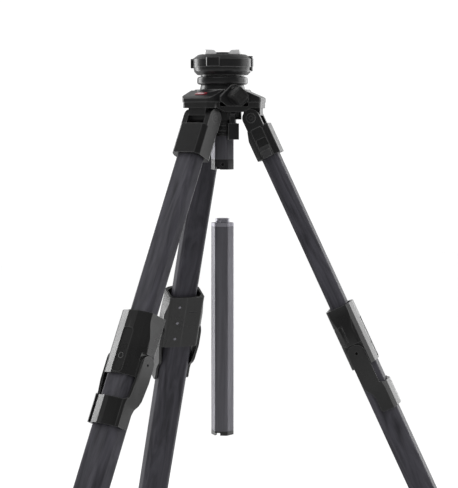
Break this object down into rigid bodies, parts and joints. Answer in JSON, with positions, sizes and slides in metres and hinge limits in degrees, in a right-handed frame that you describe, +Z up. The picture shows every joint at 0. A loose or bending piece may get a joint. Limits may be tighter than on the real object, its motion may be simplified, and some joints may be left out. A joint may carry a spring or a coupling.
{
  "type": "camera tripod",
  "caption": "Three-legged camera tripod with nested leg tubes and lever locks, a tilting levelling head with quick-release base, and a short hexagonal column with a detached lower section.",
  "frame": {"origin": "on the floor plane, directly below the centre column, at the centre of the three feet", "axes": "+Z up along the centre column; +Y towards the back leg; +X to the right seen from the front, where the column-lock knob is"},
  "size_m": [0.819, 0.7153, 0.9905],
  "materials": {
    "black_casting": "fine satin powder coat",
    "black_plastic": "moulded, finely textured",
    "carbon": "woven carbon tube, satin lacquer",
    "column_metal": "dark anodised",
    "light_metal": "bead blasted",
    "steel": "turned",
    "dark_steel": "blackened",
    "rubber": "matt",
    "badge": "lacquered inlay, plain",
    "button": "semi-gloss",
    "latch": "satin"
  },
  "bodies": {
    "crown": {"crown": "black_casting", "crown_underplate": "black_plastic", "crown_badge": "badge", "bracket_screw": "steel", "hinge_bolts": "dark_steel", "column_sleeve": "black_plastic", "level_lever_pin": "steel"},
    "column": {"column_tube": "column_metal", "column_end_cap": "black_plastic", "levelling_cup": "black_casting"},
    "lock_knob": {"column_lock_knob": "rubber"},
    "draw_stud": {"levelling_stud": "steel"},
    "head": {"levelling_ball": "black_casting", "levelling_ring": "black_casting", "head_base": "black_casting", "head_wings": "light_metal", "head_hub": "black_casting"},
    "levelling_lever": {"level_lever": "black_casting"},
    "button": {"release_button": "button"},
    "latch": {"head_latch": "latch"},
    "lower_column": {"column_connector": "column_metal", "lower_column_tube": "column_metal", "column_foot_cap": "black_plastic"},
    "detent": {"column_detent": "button"},
    "back_leg": {"back_casting": "black_casting", "back_upper_tube": "carbon", "back_upper_plug": "black_plastic"},
    "back_selector": {"back_angle_selector": "latch"},
    "back_lower": {"back_outer_tube": "carbon", "back_lock_housing": "black_plastic", "back_clamp_sleeve": "black_plastic", "back_lever_pin": "steel", "back_lower_collar": "black_plastic"},
    "back_lever": {"back_lock_lever": "black_plastic"},
    "back_bottom": {"back_bottom_tube": "carbon", "back_foot": "rubber"},
    "left_leg": {"left_casting": "black_casting", "left_upper_tube": "carbon", "left_upper_plug": "black_plastic"},
    "left_selector": {"left_angle_selector": "latch"},
    "left_lower": {"left_outer_tube": "carbon", "left_lock_housing": "black_plastic", "left_clamp_sleeve": "black_plastic", "left_lever_pin": "steel", "left_lower_collar": "black_plastic"},
    "left_lever": {"left_lock_lever": "black_plastic"},
    "left_bottom": {"left_bottom_tube": "carbon", "left_foot": "rubber"},
    "right_leg": {"right_casting": "black_casting", "right_upper_tube": "carbon", "right_upper_plug": "black_plastic"},
    "right_selector": {"right_angle_selector": "latch"},
    "right_lower": {"right_outer_tube": "carbon", "right_lock_housing": "black_plastic", "right_clamp_sleeve": "black_plastic", "right_lever_pin": "steel", "right_lower_collar": "black_plastic"},
    "right_lever": {"right_lock_lever": "black_plastic"},
    "right_bottom": {"right_bottom_tube": "carbon", "right_foot": "rubber"}
  },
  "joints": [
    {"name": "back_leg_fold", "type": "hinge", "parent": "crown", "child": "back_leg", "pos_m": [0, 0.036, 0.91244], "axis": [-1, 0, 0], "range_deg": [0, 22]},
    {"name": "back_angle_select", "type": "slide", "parent": "back_leg", "child": "back_selector", "axis": [0, -0.4226, 0.9063], "range_m": [0, 0.008], "stiffness_N_per_m": 500, "springref_m": -0.004},
    {"name": "back_leg_extend", "type": "slide", "parent": "back_leg", "child": "back_lower", "axis": [0, 0.4226, -0.9063], "range_m": [-0.165, 0.165]},
    {"name": "back_lock_open", "type": "hinge", "parent": "back_lower", "child": "back_lever", "pos_m": [0, 0.15851, 0.64617], "axis": [1, 0, 0], "range_deg": [0, 90]},
    {"name": "back_foot_extend", "type": "slide", "parent": "back_lower", "child": "back_bottom", "axis": [0, 0.4226, -0.9063], "range_m": [-0.25, 0.04]},
    {"name": "left_leg_fold", "type": "hinge", "parent": "crown", "child": "left_leg", "pos_m": [-0.03118, -0.018, 0.91244], "axis": [0.5, -0.866, 0], "range_deg": [0, 22]},
    {"name": "left_angle_select", "type": "slide", "parent": "left_leg", "child": "left_selector", "axis": [0.366, 0.2113, 0.9063], "range_m": [0, 0.008], "stiffness_N_per_m": 500, "springref_m": -0.004},
    {"name": "left_leg_extend", "type": "slide", "parent": "left_leg", "child": "left_lower", "axis": [-0.366, -0.2113, -0.9063], "range_m": [-0.165, 0.165]},
    {"name": "left_lock_open", "type": "hinge", "parent": "left_lower", "child": "left_lever", "pos_m": [-0.13727, -0.07926, 0.64617], "axis": [-0.5, 0.866, 0], "range_deg": [0, 90]},
    {"name": "left_foot_extend", "type": "slide", "parent": "left_lower", "child": "left_bottom", "axis": [-0.366, -0.2113, -0.9063], "range_m": [-0.25, 0.04]},
    {"name": "right_leg_fold", "type": "hinge", "parent": "crown", "child": "right_leg", "pos_m": [0.03118, -0.018, 0.91244], "axis": [0.5, 0.866, 0], "range_deg": [0, 22]},
    {"name": "right_angle_select", "type": "slide", "parent": "right_leg", "child": "right_selector", "axis": [-0.366, 0.2113, 0.9063], "range_m": [0, 0.008], "stiffness_N_per_m": 500, "springref_m": -0.004},
    {"name": "right_leg_extend", "type": "slide", "parent": "right_leg", "child": "right_lower", "axis": [0.366, -0.2113, -0.9063], "range_m": [-0.165, 0.165]},
    {"name": "right_lock_open", "type": "hinge", "parent": "right_lower", "child": "right_lever", "pos_m": [0.13727, -0.07926, 0.64617], "axis": [-0.5, -0.866, 0], "range_deg": [0, 90]},
    {"name": "right_foot_extend", "type": "slide", "parent": "right_lower", "child": "right_bottom", "axis": [0.366, -0.2113, -0.9063], "range_m": [-0.25, 0.04]},
    {"name": "column_slide", "type": "slide", "parent": "crown", "child": "column", "axis": [0, 0, 1], "range_m": [0, 0.024]},
    {"name": "column_lock", "type": "hinge", "parent": "crown", "child": "lock_knob", "pos_m": [0, -0.045, 0.93734], "axis": [0, -1, 0], "range_deg": [0, 270]},
    {"name": "level_tilt_x", "type": "hinge", "parent": "column", "child": "draw_stud", "pos_m": [0, 0, 0.94185], "axis": [1, 0, 0], "range_deg": [-7, 7]},
    {"name": "level_tilt_y", "type": "hinge", "parent": "draw_stud", "child": "head", "pos_m": [0, 0, 0.94185], "axis": [0, 1, 0], "range_deg": [-7, 7]},
    {"name": "level_lever_open", "type": "hinge", "parent": "crown", "child": "levelling_lever", "pos_m": [0.004, -0.0212, 0.91785], "axis": [1, 0, 0], "range_deg": [-35, 0]},
    {"name": "release_button_press", "type": "slide", "parent": "head", "child": "button", "axis": [0.9397, -0.342, 0], "range_m": [0, 0.002], "stiffness_N_per_m": 800, "springref_m": -0.002},
    {"name": "head_latch_slide", "type": "slide", "parent": "head", "child": "latch", "axis": [0, 0, 1], "range_m": [-0.004, 0]},
    {"name": "lower_column_fit", "type": "slide", "parent": "column", "child": "lower_column", "axis": [0, 0, 1], "range_m": [0, 0.0612]},
    {"name": "detent_press", "type": "slide", "parent": "lower_column", "child": "detent", "axis": [-1, 0, 0], "range_m": [0, 0.0015], "stiffness_N_per_m": 600, "springref_m": -0.002}
  ]
}
